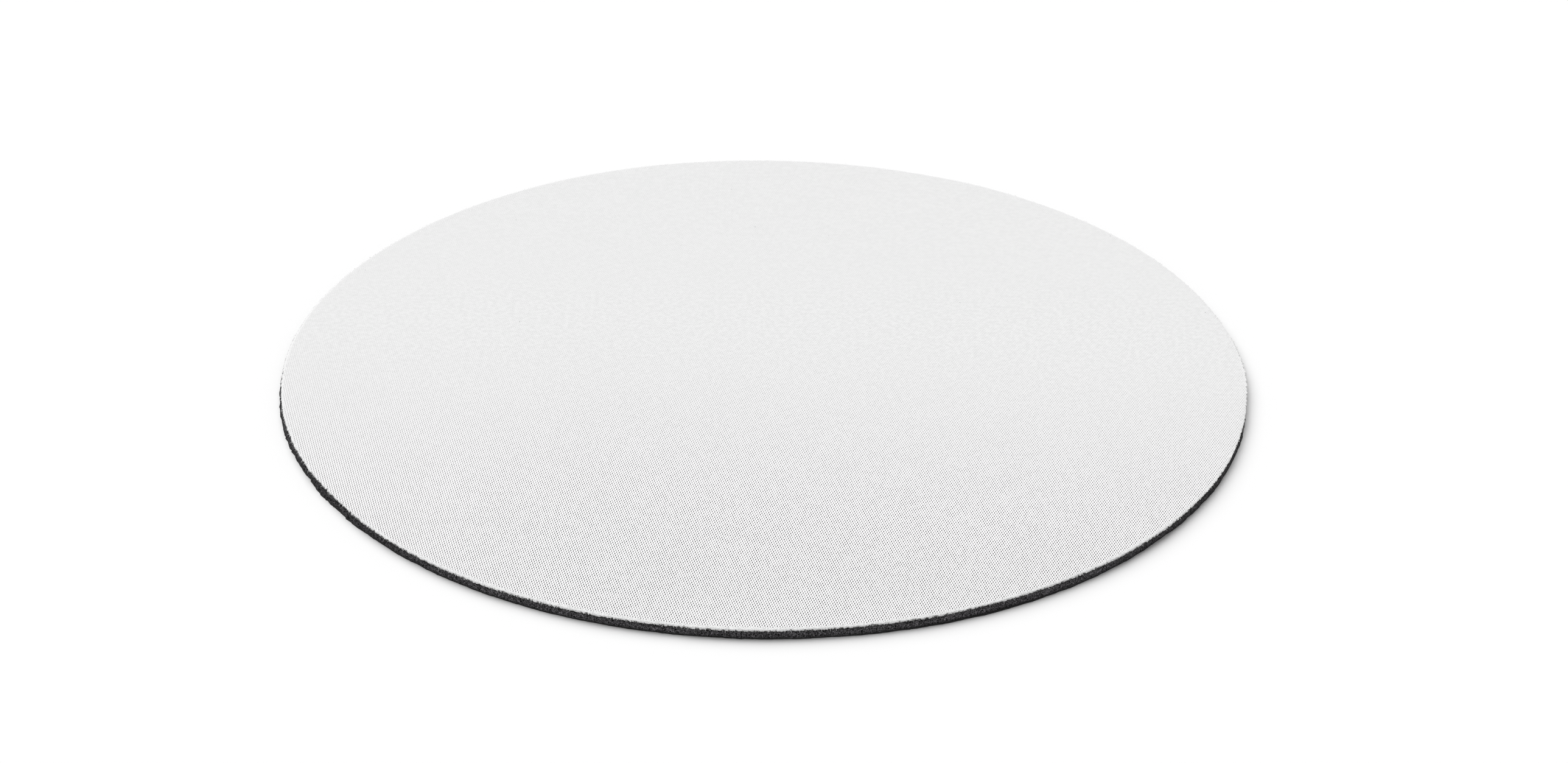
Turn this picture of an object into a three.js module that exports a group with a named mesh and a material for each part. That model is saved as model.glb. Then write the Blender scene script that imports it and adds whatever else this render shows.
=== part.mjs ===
// A round mouse pad: a knitted face cloth laminated to a thin sponge rubber base, die cut in one stroke.
// Millimetres, +Z up. The origin is the centre of the underside, where the pad lies on the desk.

import * as THREE from 'three';

// Driving dimensions: the cut face and the four layers
const PAD_DIAMETER = 200;
const CLOTH_THICKNESS = 0.3;
const FILM_THICKNESS = 0.05;
const FOAM_THICKNESS = 1.5;
const SKIN_THICKNESS = 0.25;

// What the cutting die leaves: a pressed, rounded cloth rim and a base that is a little wider at the foot
const RIM_ROLL_WIDTH = 1.2;
const RIM_PRESSED_THICKNESS = 0.1;
const FOOT_FLARE = 0.25;

// Facets of the round faces
const FACETS_AROUND = 180;
const RIM_ROLL_STEPS = 6;

// Levels of the faces where one layer is bonded to the next, counted up from the desk
const DESK_LEVEL = 0;
const SKIN_TOP = DESK_LEVEL + SKIN_THICKNESS;
const FOAM_TOP = SKIN_TOP + FOAM_THICKNESS;
const FILM_TOP = FOAM_TOP + FILM_THICKNESS;
const CLOTH_TOP = FILM_TOP + CLOTH_THICKNESS;

const FACE_RADIUS = PAD_DIAMETER / 2;

// The radius of the cut at a level: straight down from the cloth's foot, flaring evenly towards the desk
function cutRadius(level) {
  const depth = FILM_TOP - level;
  const cutDepth = FILM_TOP - DESK_LEVEL;
  return FACE_RADIUS + FOOT_FLARE * (depth / cutDepth);
}

// A solid of revolution about +Z from an outline of [radius, level] corners, listed from the bottom up
function turned(corners) {
  const outline = corners.map(([radius, level]) => new THREE.Vector2(radius, level));
  const geometry = new THREE.LatheGeometry(outline, FACETS_AROUND);
  geometry.rotateX(Math.PI / 2);
  return geometry;
}

// A plain layer of the laminate between two levels, with the cut as its edge
function layer(bottom, top) {
  return turned([
    [0, bottom],
    [cutRadius(bottom), bottom],
    [cutRadius(top), top],
    [0, top],
  ]);
}

// The face cloth: flat over the pad, and rounded down to a pressed rim where the die went through it
function clothLayer(bottom, top) {
  const rimTop = bottom + RIM_PRESSED_THICKNESS;
  const rollDrop = top - rimTop;
  const rollStart = FACE_RADIUS - RIM_ROLL_WIDTH;
  const corners = [
    [0, bottom],
    [FACE_RADIUS, bottom],
  ];
  for (let step = 0; step <= RIM_ROLL_STEPS; step += 1) {
    const turn = (step / RIM_ROLL_STEPS) * (Math.PI / 2);
    corners.push([rollStart + RIM_ROLL_WIDTH * Math.cos(turn), rimTop + rollDrop * Math.sin(turn)]);
  }
  corners.push([0, top]);
  return turned(corners);
}

// Finishes
const knittedPolyester = new THREE.MeshStandardMaterial({ color: 0xe9e9e9, roughness: 0.92, metalness: 0 });
const laminatingAdhesive = new THREE.MeshStandardMaterial({ color: 0xcfcbc2, roughness: 0.45, metalness: 0 });
const spongeRubber = new THREE.MeshStandardMaterial({ color: 0x333334, roughness: 0.95, metalness: 0 });
const rubberSkin = new THREE.MeshStandardMaterial({ color: 0x232324, roughness: 0.7, metalness: 0 });

// The pad, built up from the desk: each layer is bonded all over to the one below it
const pad = new THREE.Group();

function addPiece(name, geometry, material) {
  const piece = new THREE.Mesh(geometry, material);
  piece.name = name;
  pad.add(piece);
}

addPiece('grip_skin', layer(DESK_LEVEL, SKIN_TOP), rubberSkin);
addPiece('foam_core', layer(SKIN_TOP, FOAM_TOP), spongeRubber);
addPiece('bond_film', layer(FOAM_TOP, FILM_TOP), laminatingAdhesive);
addPiece('face_cloth', clothLayer(FILM_TOP, CLOTH_TOP), knittedPolyester);

export default pad;
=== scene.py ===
"""Dresses a round mouse pad: knitted face, ragged cut rim, sponge rubber edge, embossed grip skin."""

import math

import bpy
import numpy as np
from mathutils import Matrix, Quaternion, Vector


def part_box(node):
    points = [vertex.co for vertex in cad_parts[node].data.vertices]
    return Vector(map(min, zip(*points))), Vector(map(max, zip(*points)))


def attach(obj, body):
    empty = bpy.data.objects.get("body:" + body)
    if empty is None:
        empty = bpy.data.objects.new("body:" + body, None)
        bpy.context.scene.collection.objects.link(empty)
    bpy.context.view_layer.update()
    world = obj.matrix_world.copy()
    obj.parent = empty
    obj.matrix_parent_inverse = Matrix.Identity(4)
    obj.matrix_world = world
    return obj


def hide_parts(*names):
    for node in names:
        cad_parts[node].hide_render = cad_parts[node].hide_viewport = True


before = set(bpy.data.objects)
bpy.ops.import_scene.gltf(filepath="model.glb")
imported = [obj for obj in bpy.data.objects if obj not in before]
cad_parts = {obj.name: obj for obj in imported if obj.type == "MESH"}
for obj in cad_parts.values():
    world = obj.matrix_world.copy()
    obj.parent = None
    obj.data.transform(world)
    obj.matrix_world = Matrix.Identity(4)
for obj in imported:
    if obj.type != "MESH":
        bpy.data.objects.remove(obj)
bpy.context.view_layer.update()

MM = 0.001
FULL_TURN = 2 * math.pi

# Sizes read from the frame, in metres
cloth_low, cloth_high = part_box("face_cloth")
foam_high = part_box("foam_core")[1]
skin_low, skin_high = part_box("grip_skin")
FACE_RADIUS = cloth_high.x
CLOTH_TOP = cloth_high.z
CLOTH_FOOT = cloth_low.z
FOAM_TOP = foam_high.z
SKIN_TOP = skin_high.z
DESK = skin_low.z

# The radius once more, in the millimetres that the materials count in
RIM = FACE_RADIUS / MM

# The outline of the cut: not quite round at the cloth, a little wider at the foot, and wavy at both
LOBES = 5
LOBE_PEAK = math.radians(186)
LOBE_DEPTH = 0.13 * MM
LIP_WAVE = 0.06 * MM
LIP_WAVE_LENGTH = 7 * MM
FOOT_FLARE = 0.03 * MM
FOOT_WAVE = 0.09 * MM
FOOT_WAVE_LENGTH = 3 * MM

# Bulges and dips of the cut: bearing and half width in degrees, and how far out in millimetres
LIP_BULGES = (
    (1.5, 13, 0.42),
    (60, 9, 0.25),
    (114, 24, 0.27),
    (200.5, 5, -0.09),
    (211.5, 11, -0.25),
    (233, 13, 0.19),
    (260, 4, -0.05),
    (269, 5, 0.07),
    (288, 5, 0.08),
    (303, 10, -0.13),
    (305, 38, 0.08),
    (327, 16, -0.12),
    (344, 5, -0.07),
)
FOOT_BULGES = (
    (184, 6.5, 0.16),
    (188.5, 19, 0.54),
    (196.8, 3, 0.25),
    (199.5, 6, 0.1),
    (210, 4.5, 0.3),
    (320, 12, -0.17),
    (346, 5, 0.08),
)

# Tears along the cut: how deep they are all round, and where they go deeper, written as the bulges are
TEAR_LENGTH = 0.5 * MM
LIP_TEAR = 0.03 * MM
LIP_ROUGH_PLACES = (
    (2, 16, 0.09),
    (184, 4, 0.1),
    (208, 28, 0.11),
)
FOOT_TEAR = 0.08 * MM
FOOT_ROUGH_PLACES = (
    (208, 30, 0.15),
)

# Round the back the cut leans in under the cloth: how far, about where, and the cosine where it is full
UNDERCUT = 0.15 * MM
UNDERCUT_MIDDLE = math.radians(80)
UNDERCUT_FULL = 0.25

# The cloth's rim: it rolls over and ends in ragged teeth, shorter round the back and longer in places
ROLL_WIDTH = 0.7 * MM
ROLL_DROP = 0.09 * MM
ROLL_STEPS = 3
ROLL_INSET = 0.06 * MM
LIP_TOOTH_LENGTH = 0.5 * MM
LIP_RAGGED = 0.08 * MM
BACK_RAGGED = 0.4
SERRATED_PLACES = (
    (183.5, 4, 0.14),
    (357, 12, 0.13),
)
CLOTH_CREASE = math.radians(45)

# Where the front begins and where it is in full, by the sine of the angle round the pad
FRONT_BEGINS = -0.1
FRONT_FULL = -0.35

# Gaps between the cut yarns of the front, darkened with painted shade, with how dark each row of points
# down the cut is
GAP_LENGTH = 0.26 * MM
GAP_INSET = 0.14 * MM
GAP_RISE = 0.2 * MM
GAP_OPENS = (0.3, 0.75)
GAP_SHADES = (0.2, 0.85, 0.9)

# Loose fibres: fuzz, yarn ends and stray threads all round the cut, and more threads on its frayed side
FUZZ_SPACING = 0.14 * MM
FUZZ_LENGTH = 0.14 * MM
FUZZ_THICKNESS = 0.04 * MM
FUZZ_DROOP = 0.8
YARN_END_SPACING = 0.6 * MM
YARN_END_LENGTH = 0.26 * MM
YARN_END_THICKNESS = 0.09 * MM
YARN_END_DROOP = 0.9
THREADS = 70
THREAD_LENGTH = 0.4 * MM
THREAD_THICKNESS = 0.05 * MM
THREAD_DROOP = 1.5
STRAY_DROOP = 0.6
FRAYED_SIDE = math.radians(205)
FRAYED_SPREAD = math.radians(14)

# Where the cut is clean, and how clean it has to be before any fibre is missing
CLEAN_MIDDLE = math.radians(335)
CLEAN_HALF_WIDTH = math.radians(25)
CLEAN_BEGINS = 0.1

# How fibres differ: shares of their spacing and length, and parts of their heading and of their bend
FIBRE_SCATTER = 0.4
FIBRE_LENGTHS = (0.4, 1.6)
FIBRE_OUTWARD = (0.3, 1.0)
FIBRE_SIDEWAYS = 0.5
FIBRE_RISE = 0.15
FIBRE_BEND = 0.3
FIBRE_SAG = 0.3

# A fibre's rings of points, by their share of its length and of its thickness, before it ends in a tip
FIBRE_RINGS = ((0.0, 1.0), (0.4, 0.9), (0.75, 0.7))
FIBRE_SIDES = 3

# The sponge: cells that the cut has opened, with the torn walls between them
CELL_SIZE = 0.45 * MM
CELL_JITTER = (0.1, 0.9)
CELL_OPENS = (0.25, 0.7)
SPARE_CELL_ROWS = 3
WALL_WIDTH = 0.25
PORE_SLOPE = (0.1, 0.4)
PORE_DEPTH = 0.22 * MM
STRAND_HEIGHT = 0.04 * MM
FOAM_ROWS = 14
RELIEF_FADE = 0.2 * MM
FILM_INSET = 0.1 * MM

# The grip skin: square lands between grooves underneath, and a flap that stands out past the sponge
EMBOSS_PITCH = 2.4 * MM
GROOVE_HALF_WIDTH = 0.35 * MM
GROOVE_DEPTH = 0.12 * MM
EMBOSS_BORDER = 4 * MM
LAND_LINES = 3
SKIN_ROUND = 0.06 * MM
SKIN_CREASE = math.radians(15)
SKIN_FLAPS = (
    (294, 17, 0.22),
)

# Points round the finest rings and round the flats, and how far inside the cut the hidden flats begin
RIM_POINTS = 6144
FLAT_POINTS = 768
FLAT_INSET = 3 * MM

# Layouts in the unit square: the middle and half size of a disc, and of faces that lie small in a corner
DISC_MIDDLE = 0.5
DISC_HALF = 0.48
HIDDEN_MIDDLE = 0.07
HIDDEN_HALF = 0.06
CAPS_MIDDLE = 0.97
CAPS_HALF = 0.02

# An edge unrolled in bands, the share of each band that it fills, and the margin round each fibre
EDGE_BANDS = 16
BAND_FILL = 0.95
FIBRE_MARGIN = 0.1

# How much wider each upright row of an edge is laid out than the row before it, as a share
LAYOUT_STEP = 0.006

# The range that most noise lies in, and its middle
NOISE_RANGE = (0.3, 0.7)
NOISE_MIDDLE = 0.5

# The knit, in millimetres: two families of rows, each with its pitch and the direction across its rows
COLUMN_PITCH = 0.4366
COLUMN_ANGLE = math.radians(14.56)
COURSE_PITCH = 0.4996
COURSE_ANGLE = math.radians(-30.5)
COURSE_BOW = 0.0007

# The gaps of the knit: their size in millimetres, over which shares of it they end, and their shades
STITCH_HALF_WIDTH = 0.116
STITCH_HALF_LENGTH = 0.31
STITCH_ENDS = (0.5, 1.3)
STITCH_SHADES = (0.68, 0.92)

# Towards the left, between two shares of the radius, the gaps get fainter and run together into lines
LEFT_SIDE = (-0.85, -0.3)
LEFT_STITCHES = 0.8
LINE_EDGES = (0.05, 0.35)
LINE_SHADES = (0.36, 0.05)

# The look of the cloth: yarn and gaps in front, smooth or grainy greys behind, pressed rim and fuzz
YARN_COLOURS = ((0.94, 0.932, 0.941, 1.0), (0.955, 0.947, 0.956, 1.0))
STITCH_GREY = 0.01
SMOOTH_GREYS = (0.785, 0.815)
GRAINY_GREYS = (0.768, 0.832)
PRESSED_GREYS = (0.62, 0.88)
FELT_SPAN = (0.3, 0.6)
# Painted highlight: the rim band paler round the back
BACK_RIM_HIGHLIGHT_GREY = 0.85
# Painted shade in the gaps between the cut yarns of the front
LIP_GAP_SHADE_GREY = 0.03
KNIT_FUZZ = 0.3

# How the cloth changes from front to back: where, in shares of its radius, and how much
PALER_RANGE = (-0.9, -0.5)
PALER = 1.03
CLEAR_RANGE = (-0.72, 0.24)
CLEAR_AT_BACK = 0.02
CLEAR_LEAN = 0.1
GRAINY_RANGE = (0.15, 0.65)

# The pressed band along the rim: its width in millimetres at the front and from the middle back
PRESSED_RANGE = (-1.0, 0.0)
PRESSED_WIDTHS = (0.95, 0.35)
PRESSED_WANDER = 1.26
PRESSED_END = (0.5, 1.0)

# Specks of rubber dust on the cloth: spacing and radius in millimetres, how many show, and how dark
SPECK_SPACING = 26.0
SPECK_RADIUS = 0.12
SPECK_CHANCES = (0.35, 0.75)
SPECK_SHADE = 0.8
SPECK_GREY = 0.04

# The look of the sponge: its strands fade above one height, as painted shade under the cloth's lip, and
# below another, in millimetres
STRAND_COLOUR = (0.318, 0.302, 0.328, 1.0)
STRAND_EDGES = (0.02, 0.12)
STRAND_FADES_ABOVE = 1.0
STRAND_IN_LIP_SHADE = 0.2
STRAND_FADES_BELOW = 0.7
STRAND_AT_SKIN = 0.3
TORN_SPAN = (0.35, 0.65)
LEAST_TORN = 0.35
CELL_GREYS = (0.03, 0.06)
CELL_SPAN = (0.35, 0.7)
# Painted shade: how dark the pores are, darker than the rubber itself
PORE_SHADE_GREY = 0.004
PORE_RELIEF = (-0.8, -0.1)
# Painted shade that darkens the sponge towards the sides: where, in shares of the radius, how much, and
# how dark
SIDE_SHADE_RANGE = (0.5, 0.87)
SIDE_SHADE = 0.5
SIDE_SHADE_GREY = 0.01

# The look of the other pieces
FIBRE_GREYS = (0.75, 0.9)
SKIN_GREYS = (0.014, 0.028)
SKIN_ROUGHNESS = (0.6, 0.8)
SCUFF_SPAN = (0.45, 0.75)
FILM_COLOURS = ((0.1, 0.098, 0.09, 1.0), (0.16, 0.155, 0.14, 1.0))

# Camera, as it stood for the photograph
CAMERA_ELEVATION = math.radians(28.86)
CAMERA_DISTANCE = 0.6702
CAMERA_LENS = 73.6
CAMERA_SENSOR = 36
CAMERA_NEAREST = 0.01
CAMERA_ROLL = math.radians(0.668)
CAMERA_AIM = Vector((3.99 * MM, -7.03 * MM, 1.9 * MM))

# Light: an even surround, and a broad lamp behind the pad on its left
SURROUND = 0.3
LAMP_ENERGY = 2.96
LAMP_BREADTH = math.radians(72)
LAMP_BEARING = math.radians(117.6)
LAMP_ELEVATION = math.radians(53.7)

# Floor: half its width in metres, its colour, and a faint glow
FLOOR_HALF = 3.0
FLOOR_COLOUR = 0.94
FLOOR_GLOW = 0.01

random = np.random.default_rng(seed=20260)


# Helpers for shapes

def smooth_step(low, high, value):
    """A share that goes smoothly from 0 to 1 as the value goes from low to high."""
    share = np.clip((value - low) / (high - low), 0, 1)
    return share * share * (3 - 2 * share)


def rim_wave(length, depth):
    """A smooth random wave round the rim, up to depth in and out, that changes over the given length."""
    knots = round(FULL_TURN * FACE_RADIUS / length)
    values = random.uniform(-depth, depth, knots)

    def wave(angles):
        place = (angles % FULL_TURN) / FULL_TURN * knots
        left = np.floor(place).astype(int)
        share = smooth_step(0, 1, place - left)
        return values[left % knots] * (1 - share) + values[(left + 1) % knots] * share

    return wave


def bulge(angles, middle, half_width, reach):
    """One smooth bulge round the rim: full at its middle, and gone past half_width to either side."""
    away = np.abs((angles - middle + math.pi) % FULL_TURN - math.pi)
    return reach * smooth_step(half_width, 0, away)


def bulges_at(angles, places):
    """All the bulges of a list, each with bearing and half width in degrees and reach in millimetres."""
    total = 0
    for bearing, half_width, reach in places:
        total = total + bulge(angles, math.radians(bearing), math.radians(half_width), reach * MM)
    return total


def even_angles(count):
    return np.arange(count) * FULL_TURN / count


def ring(angles, radius, height):
    """Points round +Z. Radius and height are numbers, or one value for each angle."""
    zeros = np.zeros(len(angles))
    return np.column_stack([np.cos(angles) * radius, np.sin(angles) * radius, zeros + height])


lip_wave = rim_wave(LIP_WAVE_LENGTH, LIP_WAVE)
lip_tears = rim_wave(TEAR_LENGTH, 1)
foot_wave = rim_wave(FOOT_WAVE_LENGTH, FOOT_WAVE)
foot_tears = rim_wave(TEAR_LENGTH, 1)


def lip_radius(angles):
    """The cut at the foot of the cloth."""
    lobes = LOBE_DEPTH * np.cos(LOBES * (angles - LOBE_PEAK))
    tears = lip_tears(angles) * (LIP_TEAR + bulges_at(angles, LIP_ROUGH_PLACES))
    return FACE_RADIUS + lobes + bulges_at(angles, LIP_BULGES) + lip_wave(angles) + tears


def foot_radius(angles):
    """The cut at the desk."""
    tears = foot_tears(angles) * (FOOT_TEAR + bulges_at(angles, FOOT_ROUGH_PLACES))
    return FACE_RADIUS + FOOT_FLARE + bulges_at(angles, FOOT_BULGES) + foot_wave(angles) + tears


def cut_radius(angles, height):
    """The cut at a level between the cloth and the desk."""
    depth = (CLOTH_FOOT - height) / (CLOTH_FOOT - DESK)
    undercut = UNDERCUT * smooth_step(0, UNDERCUT_FULL, np.cos(angles - UNDERCUT_MIDDLE))
    return lip_radius(angles) * (1 - depth) + foot_radius(angles) * depth - undercut


def faces_between(upper, upper_count, lower, lower_count):
    """Faces between two rings of numbered points. One count is one, or a multiple of the other."""
    count = max(upper_count, lower_count)
    faces = []
    for j in range(count):
        corners = [
            upper + j * upper_count // count,
            lower + j * lower_count // count,
            lower + (j + 1) * lower_count // count % lower_count,
            upper + (j + 1) * upper_count // count % upper_count,
        ]
        faces.append(list(dict.fromkeys(corners)))
    return faces


def skin_through(rings):
    """Points and faces of a skin through rings that run from the top middle out, down and back in."""
    faces = []
    start = 0
    for upper, lower in zip(rings, rings[1:]):
        faces += faces_between(start, len(upper), start + len(upper), len(lower))
        start += len(upper)
    return np.vstack(rings), faces


def middle_point(height):
    return np.array([[0.0, 0.0, height]])


def add_piece(name, points, faces, material):
    mesh = bpy.data.meshes.new(name)
    mesh.from_pydata(points.tolist(), [], faces)
    mesh.validate()
    mesh.polygons.foreach_set("use_smooth", [True] * len(mesh.polygons))
    mesh.materials.append(material)
    mesh.update()
    piece = bpy.data.objects.new(name, mesh)
    bpy.context.scene.collection.objects.link(piece)
    return piece


def add_attribute(piece, name, values):
    """Gives each point of a piece a value that its material reads."""
    attribute = piece.data.attributes.new(name, "FLOAT", "POINT")
    attribute.data.foreach_set("value", values.astype(np.float32))


# Layouts in the unit square, for textures made from the materials

def add_layout(piece, places):
    """Gives each corner of a piece's faces its place in the square."""
    layer = piece.data.uv_layers.new(name="OFBake")
    layer.data.foreach_set("uv", places.astype(np.float32).ravel())


def corner_points(mesh):
    """The number of the point at each corner of the faces."""
    numbers = np.zeros(len(mesh.loops), dtype=np.int32)
    mesh.loops.foreach_get("vertex_index", numbers)
    return numbers


def add_disc_layout(piece, flat, hidden):
    """Lays a disc out as seen from one side. Faces whose points are all hidden lie small in a corner."""
    mesh = piece.data
    corners = corner_points(mesh)
    starts = np.array([face.loop_start for face in mesh.polygons])
    sizes = np.array([face.loop_total for face in mesh.polygons])
    hidden_faces = np.minimum.reduceat(hidden[corners], starts)
    shares = flat[corners] / FACE_RADIUS
    shown_places = DISC_MIDDLE + DISC_HALF * shares
    hidden_places = HIDDEN_MIDDLE + HIDDEN_HALF * shares * (-1, 1)
    add_layout(piece, np.where(np.repeat(hidden_faces, sizes)[:, None], hidden_places, shown_places))


def add_edge_layout(piece, columns, rows, first_face):
    """Unrolls the grid of faces round a disc's edge in bands. Its flat faces lie small in a corner."""
    bands_with_corner = EDGE_BANDS + 1
    band_columns = columns // EDGE_BANDS
    column, row = np.meshgrid(np.arange(columns), np.arange(rows))
    grid = []
    for right, down in ((0, 0), (0, 1), (1, 1), (1, 0)):
        x = (column % band_columns + right) / band_columns
        y = (column // band_columns + BAND_FILL * (1 - (row + down) / rows)) / bands_with_corner
        grid.append(np.stack([x, y], axis=-1))
    grid = np.stack(grid, axis=2).reshape(-1, 2)

    mesh = piece.data
    points = np.array([point.co.xy for point in mesh.vertices])
    places = CAPS_MIDDLE + CAPS_HALF * points[corner_points(mesh)] / FACE_RADIUS
    start = mesh.polygons[first_face].loop_start
    places[start:start + len(grid)] = grid
    add_layout(piece, places)


# Helpers for materials

def add_node(tree, kind, inputs=None, **settings):
    """Adds a node, sets its properties, and links or sets each input that is given."""
    node = tree.nodes.new(kind)
    for key, value in settings.items():
        setattr(node, key, value)
    for key, value in (inputs or {}).items():
        if isinstance(value, bpy.types.NodeSocket):
            tree.links.new(value, node.inputs[key])
        else:
            node.inputs[key].default_value = value
    return node


def maths(tree, operation, first, second=0.0):
    return add_node(tree, "ShaderNodeMath", {0: first, 1: second}, operation=operation).outputs[0]


def mapped(tree, value, low, high, to_low, to_high):
    """A value mapped smoothly from one range to another, and held at its ends."""
    inputs = {"Value": value, "From Min": low, "From Max": high, "To Min": to_low, "To Max": to_high}
    node = add_node(tree, "ShaderNodeMapRange", inputs, interpolation_type="SMOOTHSTEP")
    return node.outputs["Result"]


def rising(tree, value, low, high):
    """0 up to low, 1 from high on, and smooth between them."""
    return mapped(tree, value, low, high, 0.0, 1.0)


def falling(tree, value, low, high):
    """1 up to low, 0 from high on, and smooth between them."""
    return mapped(tree, value, low, high, 1.0, 0.0)


def over_cloth(tree, coordinate, shares, to_low, to_high):
    """A value that changes along a coordinate between two places, given as shares of the radius."""
    low, high = shares
    return mapped(tree, coordinate, low * RIM, high * RIM, to_low, to_high)


def mixed(tree, factor, first, second):
    node = add_node(tree, "ShaderNodeMix", {0: factor, 6: first, 7: second}, data_type="RGBA")
    return node.outputs[2]


def grey(level):
    return (level, level, level, 1.0)


def mixed_greys(tree, factor, levels):
    first, second = levels
    return mixed(tree, factor, grey(first), grey(second))


def combined(tree, x, y):
    return add_node(tree, "ShaderNodeCombineXYZ", {"X": x, "Y": y}).outputs[0]


def length_of(tree, vector):
    return add_node(tree, "ShaderNodeVectorMath", {0: vector}, operation="LENGTH").outputs["Value"]


def noise_value(tree, place, scale, detail=2.0):
    inputs = {"Vector": place, "Scale": scale, "Detail": detail}
    return add_node(tree, "ShaderNodeTexNoise", inputs).outputs[0]


def clouds(tree, place, scale, detail=2.0, span=NOISE_RANGE):
    """Noise drawn out to clear clouds: 0 where it is below its span, and 1 where it is above."""
    return rising(tree, noise_value(tree, place, scale, detail), *span)


def attribute_value(tree, name):
    return add_node(tree, "ShaderNodeAttribute", attribute_name=name).outputs["Fac"]


def new_material(name):
    """A material with its tree, its shader and the place on the object in millimetres."""
    material = bpy.data.materials.new(name)
    material.use_nodes = True
    tree = material.node_tree
    shader = tree.nodes["Principled BSDF"]
    coordinates = add_node(tree, "ShaderNodeTexCoord")
    scaled = {0: coordinates.outputs["Object"], 3: 1 / MM}
    place = add_node(tree, "ShaderNodeVectorMath", scaled, operation="SCALE").outputs[0]
    return material, tree, shader, place


def add_bump(tree, shader, height, depth):
    inputs = {"Height": height, "Distance": depth, "Strength": 1.0}
    bump = add_node(tree, "ShaderNodeBump", inputs)
    tree.links.new(bump.outputs[0], shader.inputs["Normal"])


# The material of the cloth

def knit_gaps(tree, place):
    """The shade of the knit: oval gaps along its columns, which run together into lines on the left."""
    column_across = np.array([math.cos(COLUMN_ANGLE), math.sin(COLUMN_ANGLE)]) / COLUMN_PITCH
    course_across = np.array([math.cos(COURSE_ANGLE), math.sin(COURSE_ANGLE)]) / COURSE_PITCH
    to_next_column, to_next_stitch = np.linalg.inv([column_across, course_across]).T

    def row_number(across):
        inputs = {0: place, 1: (across[0], across[1], 0.0)}
        return add_node(tree, "ShaderNodeVectorMath", inputs, operation="DOT_PRODUCT").outputs["Value"]

    x = add_node(tree, "ShaderNodeSeparateXYZ", {0: place}).outputs["X"]
    bow = maths(tree, "MULTIPLY", maths(tree, "MULTIPLY", x, x), COURSE_BOW)
    column = row_number(column_across)
    course = maths(tree, "ADD", row_number(course_across), bow)
    nearest_column = maths(tree, "ROUND", column)
    nearest_course = maths(tree, "ROUND", course)
    from_column = maths(tree, "SUBTRACT", column, nearest_column)
    from_course = maths(tree, "SUBTRACT", course, nearest_course)

    def from_stitch(axis, half_size):
        by_column = maths(tree, "MULTIPLY", from_column, to_next_column[axis] / half_size)
        by_course = maths(tree, "MULTIPLY", from_course, to_next_stitch[axis] / half_size)
        return maths(tree, "ADD", by_column, by_course)

    sideways = from_stitch(0, STITCH_HALF_WIDTH)
    lengthways = from_stitch(1, STITCH_HALF_LENGTH)
    away = length_of(tree, combined(tree, sideways, lengthways))
    oval = falling(tree, away, *STITCH_ENDS)

    stitch = {"Vector": combined(tree, nearest_column, nearest_course)}
    chance = add_node(tree, "ShaderNodeTexWhiteNoise", stitch, noise_dimensions="2D").outputs["Value"]
    strength = mapped(tree, chance, 0.0, 1.0, *STITCH_SHADES)
    strength = maths(tree, "MULTIPLY", strength, over_cloth(tree, x, LEFT_SIDE, LEFT_STITCHES, 1.0))
    gap = maths(tree, "MULTIPLY", oval, strength)
    line = falling(tree, maths(tree, "ABSOLUTE", from_column), *LINE_EDGES)
    chain = maths(tree, "MULTIPLY", line, over_cloth(tree, x, LEFT_SIDE, *LINE_SHADES))
    return maths(tree, "MAXIMUM", gap, chain)


def clear_knit(tree, place, along, shade):
    """The colour of the knit where its gaps show: mottled yarn, a little paler away from the front."""
    mottle = clouds(tree, place, scale=0.09, detail=4.0)
    yarn = mixed(tree, mottle, *YARN_COLOURS)
    paler = {0: yarn, 3: over_cloth(tree, along, PALER_RANGE, 1.0, PALER)}
    yarn = add_node(tree, "ShaderNodeVectorMath", paler, operation="SCALE").outputs[0]
    return mixed(tree, shade, yarn, grey(STITCH_GREY))


def blurred_knit(tree, place, along):
    """The colour of the knit where no gaps show: grainy to past the middle, smooth further back."""
    smooth = mixed_greys(tree, clouds(tree, place, scale=0.8), SMOOTH_GREYS)
    grainy = mixed_greys(tree, clouds(tree, place, scale=1.0, detail=4.0), GRAINY_GREYS)
    return mixed(tree, over_cloth(tree, along, GRAINY_RANGE, 1.0, 0.0), smooth, grainy)


def open_share(tree, place, across, along):
    """0 in the uneven band along the rim where the knit is pressed shut, and 1 inside it."""
    radius = length_of(tree, combined(tree, across, along))
    width = over_cloth(tree, along, PRESSED_RANGE, *PRESSED_WIDTHS)
    inset = maths(tree, "DIVIDE", maths(tree, "SUBTRACT", RIM, radius), width)
    wander = maths(tree, "SUBTRACT", noise_value(tree, place, scale=1.8), NOISE_MIDDLE)
    wander = maths(tree, "MULTIPLY", wander, PRESSED_WANDER)
    return rising(tree, maths(tree, "SUBTRACT", inset, wander), *PRESSED_END)


def rubber_specks(tree, place):
    """A few tiny specks of rubber dust, far apart on the cloth."""
    radius = SPECK_RADIUS / SPECK_SPACING
    inputs = {"Vector": place, "Scale": 1 / SPECK_SPACING}
    spots = add_node(tree, "ShaderNodeTexVoronoi", inputs, voronoi_dimensions="2D")
    spot = falling(tree, spots.outputs["Distance"], radius / 2, radius)
    chance = add_node(tree, "ShaderNodeSeparateColor", {0: spots.outputs["Color"]}).outputs[0]
    return maths(tree, "MULTIPLY", spot, mapped(tree, chance, *SPECK_CHANCES, 0.0, SPECK_SHADE))


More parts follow.
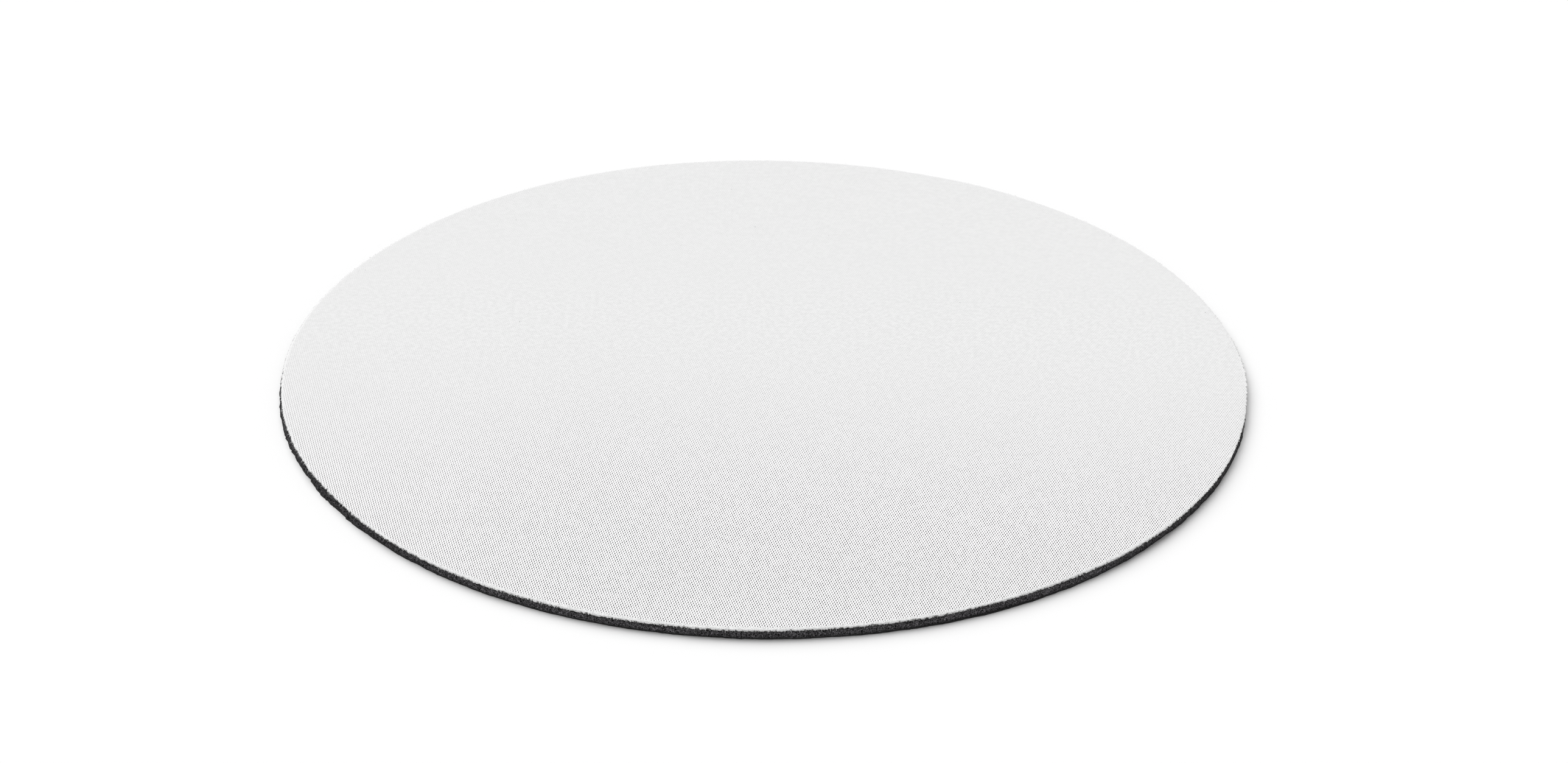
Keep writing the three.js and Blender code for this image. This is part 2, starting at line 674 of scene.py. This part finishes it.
def knit_material():
    """Brightened white knit, whose gaps close up at the pressed rim and read less towards the back."""
    material, tree, shader, place = new_material("white_knit")
    parts = add_node(tree, "ShaderNodeSeparateXYZ", {0: place})
    across = parts.outputs["X"]
    along = parts.outputs["Y"]
    shade = knit_gaps(tree, place)
    clear = clear_knit(tree, place, along, shade)
    blurred = blurred_knit(tree, place, along)
    felt = clouds(tree, place, scale=4.0, detail=3.0, span=FELT_SPAN)
    pressed = mixed_greys(tree, felt, PRESSED_GREYS)

    lean = maths(tree, "MULTIPLY", maths(tree, "MAXIMUM", across, 0.0), CLEAR_LEAN)
    to_back = maths(tree, "ADD", along, lean)
    clear_share = over_cloth(tree, to_back, CLEAR_RANGE, 1.0, CLEAR_AT_BACK)
    knit = mixed(tree, clear_share, blurred, clear)
    # The rim band: pressed felt at the front, and paler round the back as a painted highlight
    rim_colour = mixed(tree, clear_share, grey(BACK_RIM_HIGHLIGHT_GREY), pressed)
    colour = mixed(tree, open_share(tree, place, across, along), rim_colour, knit)
    colour = mixed(tree, rubber_specks(tree, place), colour, grey(SPECK_GREY))
    # Painted shade in the gaps between the cut yarns of the front
    colour = mixed(tree, attribute_value(tree, "gap"), colour, grey(LIP_GAP_SHADE_GREY))
    tree.links.new(colour, shader.inputs["Base Color"])
    shader.inputs["Roughness"].default_value = 0.92
    shader.inputs["Specular IOR Level"].default_value = 0.2
    shader.inputs["Sheen Weight"].default_value = 0.05
    shader.inputs["Sheen Roughness"].default_value = 0.5

    fuzz = maths(tree, "MULTIPLY", noise_value(tree, place, scale=9.0, detail=3.0), KNIT_FUZZ)
    add_bump(tree, shader, maths(tree, "SUBTRACT", fuzz, shade), depth=0.03 * MM)
    return material


# The other materials

def fibre_material():
    """Loose polyester ends: white, with a little variation from tuft to tuft."""
    material, tree, shader, place = new_material("frayed_polyester")
    colour = mixed_greys(tree, clouds(tree, place, scale=1.5), FIBRE_GREYS)
    tree.links.new(colour, shader.inputs["Base Color"])
    shader.inputs["Roughness"].default_value = 0.8
    shader.inputs["Sheen Weight"].default_value = 0.1
    return material


def sponge_strands(tree, place, height):
    """1 on torn strands between the cells, less where they are whole or near the skin, and less near the
    cloth as painted shade under its lip.
    """
    cells = {"Vector": place, "Scale": 1 / (CELL_SIZE / MM)}
    voronoi = add_node(tree, "ShaderNodeTexVoronoi", cells, feature="DISTANCE_TO_EDGE")
    wall = falling(tree, voronoi.outputs["Distance"], *STRAND_EDGES)
    torn = mapped(tree, noise_value(tree, place, scale=3.0), *TORN_SPAN, LEAST_TORN, 1.0)
    # Painted shade under the cloth's lip: fewer pale strands near the cloth
    shade_below_cloth = mapped(tree, height, STRAND_FADES_ABOVE, FOAM_TOP / MM, 1.0, STRAND_IN_LIP_SHADE)
    above_skin = mapped(tree, height, SKIN_TOP / MM, STRAND_FADES_BELOW, STRAND_AT_SKIN, 1.0)
    strand = maths(tree, "MULTIPLY", wall, torn)
    return maths(tree, "MULTIPLY", strand, maths(tree, "MULTIPLY", shade_below_cloth, above_skin))


def sponge_material():
    """Black sponge rubber: pale torn strands round dark cells, with painted shade in the pores and
    towards the sides.
    """
    material, tree, shader, place = new_material("black_sponge")
    parts = add_node(tree, "ShaderNodeSeparateXYZ", {0: place})
    strand = sponge_strands(tree, place, parts.outputs["Z"])
    grain = noise_value(tree, place, scale=6.0, detail=3.0)
    cell = mixed_greys(tree, rising(tree, grain, *CELL_SPAN), CELL_GREYS)
    # The rubber's dark cells, and the pores darker still with painted shade
    pore = falling(tree, attribute_value(tree, "relief"), *PORE_RELIEF)
    inside = mixed(tree, pore, cell, grey(PORE_SHADE_GREY))
    colour = mixed(tree, strand, inside, STRAND_COLOUR)
    to_side = maths(tree, "ABSOLUTE", parts.outputs["X"])
    # Painted shade: the sponge darker towards the sides
    side_shade = over_cloth(tree, to_side, SIDE_SHADE_RANGE, 0.0, SIDE_SHADE)
    colour = mixed(tree, side_shade, colour, grey(SIDE_SHADE_GREY))
    tree.links.new(colour, shader.inputs["Base Color"])
    shader.inputs["Roughness"].default_value = 0.9
    shader.inputs["Specular IOR Level"].default_value = 0.15
    add_bump(tree, shader, maths(tree, "ADD", grain, strand), depth=0.03 * MM)
    return material


def skin_material():
    """Dense rubber skin: darker and smoother than the sponge, with faint scuffs."""
    material, tree, shader, place = new_material("rubber_skin")
    scuffs = clouds(tree, place, scale=1.2, detail=4.0, span=SCUFF_SPAN)
    tree.links.new(mixed_greys(tree, scuffs, SKIN_GREYS), shader.inputs["Base Color"])
    roughness = mapped(tree, noise_value(tree, place, scale=4.0), *NOISE_RANGE, *SKIN_ROUGHNESS)
    tree.links.new(roughness, shader.inputs["Roughness"])
    shader.inputs["Specular IOR Level"].default_value = 0.25
    add_bump(tree, shader, noise_value(tree, place, scale=14.0), depth=0.01 * MM)
    return material


def film_material():
    """Hot-melt adhesive: a thin, dull, slightly yellow film."""
    material, tree, shader, place = new_material("adhesive_film")
    colour = mixed(tree, clouds(tree, place, scale=0.8, detail=3.0), *FILM_COLOURS)
    tree.links.new(colour, shader.inputs["Base Color"])
    shader.inputs["Roughness"].default_value = 0.5
    return material


# The face cloth

def flat_rings():
    """Rings of the flat of the cloth, from its middle out, with more points in the wider ones."""
    rings = [middle_point(CLOTH_TOP)]
    for count, low, high, steps in (
        (FLAT_POINTS // 8, 0.03, 0.2, 8),
        (FLAT_POINTS // 2, 0.22, 0.5, 14),
        (FLAT_POINTS, 0.52, 0.985, 24),
    ):
        for share in np.linspace(low, high, steps):
            rings.append(ring(even_angles(count), FACE_RADIUS * share, CLOTH_TOP))
    return rings


def add_cloth():
    """The cloth: flat, rolled over at the rim, and cut to a ragged lip with gaps between its yarns."""
    angles = even_angles(RIM_POINTS)
    along_front = smooth_step(FRONT_BEGINS, FRONT_FULL, np.sin(angles))
    gap = along_front * smooth_step(*GAP_OPENS, rim_wave(GAP_LENGTH, 1)(angles))
    ragged = LIP_RAGGED * (BACK_RAGGED + (1 - BACK_RAGGED) * along_front)
    ragged = ragged + bulges_at(angles, SERRATED_PLACES)
    upper_teeth = rim_wave(LIP_TOOTH_LENGTH, 1)(angles) * ragged
    lower_teeth = rim_wave(LIP_TOOTH_LENGTH, 1)(angles) * ragged
    long_teeth = rim_wave(LIP_TOOTH_LENGTH, 1)(angles)
    short_teeth = rim_wave(GAP_LENGTH, 1)(angles)

    cut = cut_radius(angles, CLOTH_FOOT)
    roll_edge = lip_radius(angles) - ROLL_INSET + upper_teeth
    roll_foot = CLOTH_TOP - ROLL_DROP
    waist = (roll_foot + CLOTH_FOOT) / 2
    lip_edge = cut + lower_teeth - gap * GAP_INSET
    lip_foot = CLOTH_FOOT + gap * GAP_RISE + (long_teeth + short_teeth) * ragged

    rings = flat_rings()
    for step in range(ROLL_STEPS + 1):
        turn = step / ROLL_STEPS * math.pi / 2
        radius = roll_edge - ROLL_WIDTH * (1 - math.sin(turn))
        rings.append(ring(angles, radius, roll_foot + ROLL_DROP * math.cos(turn)))
    cut_start = len(np.vstack(rings)) - RIM_POINTS
    rings.append(ring(angles, lip_edge, waist))
    rings.append(ring(angles, lip_edge, lip_foot))
    rings.append(ring(angles, cut - 2 * GAP_INSET, CLOTH_FOOT))
    rings.append(ring(even_angles(FLAT_POINTS), FACE_RADIUS - FLAT_INSET, CLOTH_FOOT))
    rings.append(middle_point(CLOTH_FOOT))

    points, faces = skin_through(rings)
    cloth = add_piece("knit_face", points, faces, knit_material())
    cloth.data.set_sharp_from_angle(angle=CLOTH_CREASE)
    # The painted shade of the gaps, row by row down the cut
    shade = np.zeros(len(points))
    for row, share in enumerate(GAP_SHADES):
        start = cut_start + row * RIM_POINTS
        shade[start:start + RIM_POINTS] = share * gap
    add_attribute(cloth, "gap", shade)

    flat = points[:, :2].copy()
    cut_rows = 3
    for row in range(1, cut_rows + 1):
        start = cut_start + row * RIM_POINTS
        flat[start:start + RIM_POINTS] *= 1 + row * LAYOUT_STEP
    hidden_start = cut_start + cut_rows * RIM_POINTS
    add_disc_layout(cloth, flat, np.arange(len(points)) >= hidden_start)
    return cloth


# Frayed ends along the cut

def fibres(angles, length, thickness, droop):
    """Points and faces of fibres that leave the lip at the given angles, spread out and bend down."""
    count = len(angles)
    lengths = length * random.uniform(*FIBRE_LENGTHS, count)[:, None]
    outward = ring(angles, 1, 0)
    sideways = ring(angles + math.pi / 2, 1, 0)
    upward = np.array([0.0, 0.0, 1.0])
    heights = random.uniform(CLOTH_FOOT, CLOTH_TOP - ROLL_DROP, count)
    base = ring(angles, lip_radius(angles) - thickness / 2, heights)
    heading = outward * random.uniform(*FIBRE_OUTWARD, count)[:, None]
    heading += sideways * random.normal(0, FIBRE_SIDEWAYS, count)[:, None]
    heading += upward * random.uniform(-droop, FIBRE_RISE, count)[:, None]
    heading /= np.linalg.norm(heading, axis=1)[:, None]
    bend = random.normal(0, FIBRE_BEND, (count, 3)) - upward * FIBRE_SAG * droop

    side = np.cross(heading, upward)
    side /= np.linalg.norm(side, axis=1)[:, None]
    other = np.cross(heading, side)
    rows = []
    for share, width in FIBRE_RINGS:
        middle = base + lengths * (heading * share + bend * share * share)
        for corner in even_angles(FIBRE_SIDES):
            spread = side * math.cos(corner) + other * math.sin(corner)
            rows.append(middle + spread * (width * thickness / 2))
    rows.append(base + lengths * (heading + bend))

    tip = len(rows) - 1
    last_ring = tip - FIBRE_SIDES
    one_fibre = [[0, 2, 1]]
    for level in range(0, last_ring, FIBRE_SIDES):
        above = level + FIBRE_SIDES
        for k in range(FIBRE_SIDES):
            ahead = (k + 1) % FIBRE_SIDES
            one_fibre.append([level + k, level + ahead, above + ahead, above + k])
    for k in range(FIBRE_SIDES):
        one_fibre.append([last_ring + k, last_ring + (k + 1) % FIBRE_SIDES, tip])
    starts = range(0, count * len(rows), len(rows))
    faces = [[start + corner for corner in face] for start in starts for face in one_fibre]
    return np.stack(rows, axis=1).reshape(-1, 3), faces


def add_fibre_layout(fray):
    """Gives each fibre a small square of its own: its sides next to each other, in steps to its tip."""
    steps = len(FIBRE_RINGS)
    one_fibre = [(0, 0), (1, 0), (1, 1)]
    for step in range(steps - 1):
        for k in range(FIBRE_SIDES):
            one_fibre += [(k, step), (k + 1, step), (k + 1, step + 1), (k, step + 1)]
    for k in range(FIBRE_SIDES):
        one_fibre += [(k, steps - 1), (k + 1, steps - 1), (k + 0.5, steps)]
    count = len(fray.data.loops) // len(one_fibre)
    across = math.ceil(math.sqrt(count))
    fibre = np.arange(count)
    squares = np.column_stack([fibre % across, fibre // across])
    inside = FIBRE_MARGIN + (1 - 2 * FIBRE_MARGIN) * np.array(one_fibre) / (FIBRE_SIDES, steps)
    add_layout(fray, (squares[:, None, :] + inside) / across)


def spread_angles(spacing):
    """Angles all round the rim, about the given spacing apart, but few where the cut is clean."""
    count = round(FULL_TURN * FACE_RADIUS / spacing)
    angles = even_angles(count) + random.normal(0, FIBRE_SCATTER, count) * FULL_TURN / count
    clean = bulge(angles, CLEAN_MIDDLE, CLEAN_HALF_WIDTH, 1)
    return angles[clean < random.uniform(CLEAN_BEGINS, 1, count)]


def add_fray():
    """Fuzz, yarn ends and stray threads all round the lip, and more threads on the frayed side."""
    thread_angles = random.normal(FRAYED_SIDE, FRAYED_SPREAD, THREADS)
    stray_angles = random.uniform(0, FULL_TURN, THREADS)
    groups = (
        fibres(spread_angles(FUZZ_SPACING), FUZZ_LENGTH, FUZZ_THICKNESS, FUZZ_DROOP),
        fibres(spread_angles(YARN_END_SPACING), YARN_END_LENGTH, YARN_END_THICKNESS, YARN_END_DROOP),
        fibres(thread_angles, THREAD_LENGTH, THREAD_THICKNESS, THREAD_DROOP),
        fibres(stray_angles, THREAD_LENGTH, FUZZ_THICKNESS, STRAY_DROOP),
    )
    points = []
    faces = []
    for group_points, group_faces in groups:
        start = sum(len(done) for done in points)
        points.append(group_points)
        faces += [[start + corner for corner in face] for face in group_faces]
    fray = add_piece("rim_fray", np.vstack(points), faces, fibre_material())
    add_fibre_layout(fray)
    return fray


# The sponge base, and the film that bonds the cloth to it

def cell_relief(run, heights):
    """The relief of the cut sponge: 1 on a torn wall, about 0 on a closed cell, -1 deep in a pore."""
    columns = round(FULL_TURN * FACE_RADIUS / CELL_SIZE)
    rows = round((FOAM_TOP - SKIN_TOP) / CELL_SIZE) + SPARE_CELL_ROWS
    jitter = random.uniform(*CELL_JITTER, (columns, rows, 2))
    openness = smooth_step(*CELL_OPENS, random.uniform(0, 1, (columns, rows)))
    tearing = random.uniform(0, 1, (columns, rows))

    # Places counted in cells, with a spare row under the lowest
    x = run / (FULL_TURN * FACE_RADIUS) * columns
    y = (heights - SKIN_TOP) / CELL_SIZE + 1
    own_column = np.floor(x).astype(int)
    own_row = np.floor(y).astype(int)
    nearest = np.full(x.shape, np.inf)
    second = np.full(x.shape, np.inf)
    depth = np.zeros(x.shape)
    torn = np.zeros(x.shape)
    for sideways in (-1, 0, 1):
        for upward in (-1, 0, 1):
            column = (own_column + sideways) % columns
            row = np.clip(own_row + upward, 0, rows - 1)
            cell_x = own_column + sideways + jitter[column, row, 0]
            cell_y = own_row + upward + jitter[column, row, 1]
            away = np.hypot(cell_x - x, cell_y - y)
            closer = away < nearest
            second = np.where(closer, nearest, np.minimum(second, away))
            depth = np.where(closer, openness[column, row], depth)
            torn = np.where(closer, tearing[column, row], torn)
            nearest = np.where(closer, away, nearest)
    inside = second - nearest
    return torn * smooth_step(WALL_WIDTH, 0, inside) - depth * smooth_step(*PORE_SLOPE, inside)


def add_sponge():
    """The base: a closed disc whose cut edge has the opened cells as real hollows."""
    angles = even_angles(RIM_POINTS)
    heights = np.linspace(FOAM_TOP, SKIN_TOP, FOAM_ROWS + 1)
    run, level = np.meshgrid(angles * FACE_RADIUS, heights)
    relief = cell_relief(run, level) * smooth_step(SKIN_TOP, SKIN_TOP + RELIEF_FADE, level)
    reach = np.where(relief > 0, STRAND_HEIGHT, PORE_DEPTH)
    inner = even_angles(FLAT_POINTS)
    rings = [middle_point(FOAM_TOP), ring(inner, FACE_RADIUS - FLAT_INSET, FOAM_TOP)]
    for height, row in zip(heights, relief * reach):
        rings.append(ring(angles, cut_radius(angles, height) - STRAND_HEIGHT + row, height))
    rings += [ring(inner, FACE_RADIUS - FLAT_INSET, SKIN_TOP), middle_point(SKIN_TOP)]
    points, faces = skin_through(rings)
    sponge = add_piece("sponge_base", points, faces, sponge_material())
    cap = np.zeros(FLAT_POINTS + 1)
    add_attribute(sponge, "relief", np.concatenate([cap, relief.ravel(), cap]))
    add_edge_layout(sponge, RIM_POINTS, FOAM_ROWS, FLAT_POINTS + RIM_POINTS)
    return sponge


def add_film():
    """The adhesive: a thin disc, cut off just inside the sponge and the cloth."""
    angles = even_angles(FLAT_POINTS)
    rings = [
        middle_point(CLOTH_FOOT),
        ring(angles, cut_radius(angles, CLOTH_FOOT) - FILM_INSET, CLOTH_FOOT),
        ring(angles, cut_radius(angles, FOAM_TOP) - FILM_INSET, FOAM_TOP),
        middle_point(FOAM_TOP),
    ]
    points, faces = skin_through(rings)
    return add_piece("bond_layer", points, faces, film_material())


# The grip skin

def emboss_lines():
    """Grid lines across the emboss: the middle of each groove, then both edges of the land beside it."""
    reach = math.ceil(FACE_RADIUS / EMBOSS_PITCH)
    lines = []
    for step in range(-reach, reach):
        start = step * EMBOSS_PITCH
        lines += [start, start + GROOVE_HALF_WIDTH, start + EMBOSS_PITCH - GROOVE_HALF_WIDTH]
    return np.array(lines + [reach * EMBOSS_PITCH])


def emboss_squares(lines):
    """The grid squares, three by three to a land, of each land that lies wholly inside the border."""
    reach = FACE_RADIUS - EMBOSS_BORDER
    edges = lines[::LAND_LINES]
    furthest = np.maximum(np.abs(edges[:-1]), np.abs(edges[1:]))
    squares = []
    for i, far_x in enumerate(furthest):
        for j, far_y in enumerate(furthest):
            if math.hypot(far_x, far_y) <= reach:
                for a in range(LAND_LINES):
                    squares += [(LAND_LINES * i + a, LAND_LINES * j + b) for b in range(LAND_LINES)]
    return squares


def emboss_mesh():
    """Points and downward faces of the emboss, turned 45 degrees, and its outline as a loop."""
    lines = emboss_lines()
    land = np.arange(len(lines)) % LAND_LINES != 0
    diagonal = math.sqrt(0.5)
    numbers = {}
    points = []
    faces = []
    edges = {}
    for i, j in emboss_squares(lines):
        face = []
        for a, b in ((i, j), (i, j + 1), (i + 1, j + 1), (i + 1, j)):
            if (a, b) not in numbers:
                numbers[a, b] = len(points)
                height = DESK if land[a] and land[b] else DESK + GROOVE_DEPTH
                x = (lines[a] - lines[b]) * diagonal
                y = (lines[a] + lines[b]) * diagonal
                points.append((x, y, height))
            face.append(numbers[a, b])
        faces.append(face)
        edges.update(dict.fromkeys(zip(face, face[1:] + face[:1])))
    outline = {first: second for first, second in edges if (second, first) not in edges}
    loop = [next(iter(outline))]
    while outline[loop[-1]] != loop[0]:
        loop.append(outline[loop[-1]])
    return np.array(points), faces, loop[::-1]


def add_skin():
    """The skin: a thin disc with a rounded foot, a flap on one side, and the emboss underneath."""
    points, faces, loop = emboss_mesh()
    angles = np.arctan2(points[loop, 1], points[loop, 0])
    flap = bulges_at(angles, SKIN_FLAPS)
    upper = cut_radius(angles, SKIN_TOP) + flap
    lower = cut_radius(angles, DESK) + flap
    rings = [
        middle_point(SKIN_TOP),
        ring(angles, upper - SKIN_ROUND, SKIN_TOP),
        ring(angles, upper, SKIN_TOP - SKIN_ROUND),
        ring(angles, lower, DESK + SKIN_ROUND),
        ring(angles, lower - SKIN_ROUND, DESK),
        ring(angles, FACE_RADIUS - EMBOSS_BORDER / 2, DESK),
    ]
    rim_points, rim_faces = skin_through(rings)
    start = len(points)
    last = start + len(rim_points) - len(loop)
    faces += [[start + corner for corner in face] for face in rim_faces]
    for j, number in enumerate(loop):
        ahead = (j + 1) % len(loop)
        faces.append([last + j, number, loop[ahead], last + ahead])
    points = np.vstack([points, rim_points])
    skin = add_piece("grip_sole", points, faces, skin_material())
    skin.data.set_sharp_from_angle(angle=SKIN_CREASE)

    flat = points[:, :2] * (-1, 1)
    upper_start = start + 1
    edge_rows = 3
    for row in range(edge_rows):
        row_start = upper_start + row * len(loop)
        flat[row_start:row_start + len(loop)] *= 1 + (edge_rows - row) * LAYOUT_STEP
    numbers = np.arange(len(points))
    add_disc_layout(skin, flat, (numbers >= start) & (numbers < upper_start + len(loop)))
    return skin


# Stage, light and camera

def shown_rays(tree):
    """1 for rays that show a surface, also in gloss or through glass, and 0 for rays that light it."""
    path = add_node(tree, "ShaderNodeLightPath").outputs
    direct = maths(tree, "MAXIMUM", path["Is Camera Ray"], path["Is Glossy Ray"])
    return maths(tree, "MAXIMUM", direct, path["Is Transmission Ray"])


def add_floor():
    """A pale floor that keeps the pad's shadow and shows white to the camera."""
    near = -FLOOR_HALF
    far = FLOOR_HALF
    corners = np.array([[near, near, DESK], [far, near, DESK], [far, far, DESK], [near, far, DESK]])
    material = bpy.data.materials.new("studio_floor")
    material.use_nodes = True
    tree = material.node_tree
    shader = tree.nodes["Principled BSDF"]
    shader.inputs["Base Color"].default_value = grey(FLOOR_COLOUR)
    shader.inputs["Roughness"].default_value = 1.0
    shader.inputs["Specular IOR Level"].default_value = 0.0
    shader.inputs["Emission Color"].default_value = grey(1.0)
    glow = maths(tree, "MULTIPLY", shown_rays(tree), FLOOR_GLOW)
    tree.links.new(glow, shader.inputs["Emission Strength"])
    add_piece("floor", corners, [[0, 1, 2, 3]], material)


def add_light():
    """An even white surround, and one broad soft lamp from behind on the left."""
    world = bpy.data.worlds.new("studio")
    world.use_nodes = True
    tree = world.node_tree
    background = tree.nodes["Background"]
    background.inputs["Color"].default_value = grey(1.0)
    strength = mapped(tree, shown_rays(tree), 0.0, 1.0, SURROUND, 1.0)
    tree.links.new(strength, background.inputs["Strength"])
    bpy.context.scene.world = world

    lamp = bpy.data.lights.new("softbox", "SUN")
    lamp.energy = LAMP_ENERGY
    lamp.angle = LAMP_BREADTH
    softbox = bpy.data.objects.new("softbox", lamp)
    level = math.cos(LAMP_ELEVATION)
    x = math.cos(LAMP_BEARING) * level
    y = math.sin(LAMP_BEARING) * level
    away = Vector((x, y, math.sin(LAMP_ELEVATION)))
    softbox.rotation_mode = "QUATERNION"
    softbox.rotation_quaternion = away.to_track_quat("Z", "Y")
    bpy.context.scene.collection.objects.link(softbox)


def add_camera():
    data = bpy.data.cameras.new("camera")
    data.sensor_fit = "HORIZONTAL"
    data.sensor_width = CAMERA_SENSOR
    data.lens = CAMERA_LENS
    data.clip_start = CAMERA_NEAREST
    camera = bpy.data.objects.new("camera", data)
    face_middle = Vector((0, 0, CAMERA_AIM.z))
    away = Vector((0, -math.cos(CAMERA_ELEVATION), math.sin(CAMERA_ELEVATION)))
    camera.location = face_middle + away * CAMERA_DISTANCE
    camera.rotation_mode = "QUATERNION"
    level = (CAMERA_AIM - camera.location).to_track_quat("-Z", "Y")
    camera.rotation_quaternion = level @ Quaternion((0, 0, 1), CAMERA_ROLL)
    bpy.context.scene.collection.objects.link(camera)
    bpy.context.scene.camera = camera


add_camera()
add_light()
add_floor()

cloth = add_cloth()
fray = add_fray()
sponge = add_sponge()
film = add_film()
sole = add_skin()

stand_ins = ((cloth, "face_cloth"), (film, "bond_film"), (sponge, "foam_core"), (sole, "grip_skin"))
for piece, node in stand_ins:
    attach(piece, "root")
    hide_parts(node)
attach(fray, "root")

bpy.context.scene.view_settings.view_transform = "Standard"
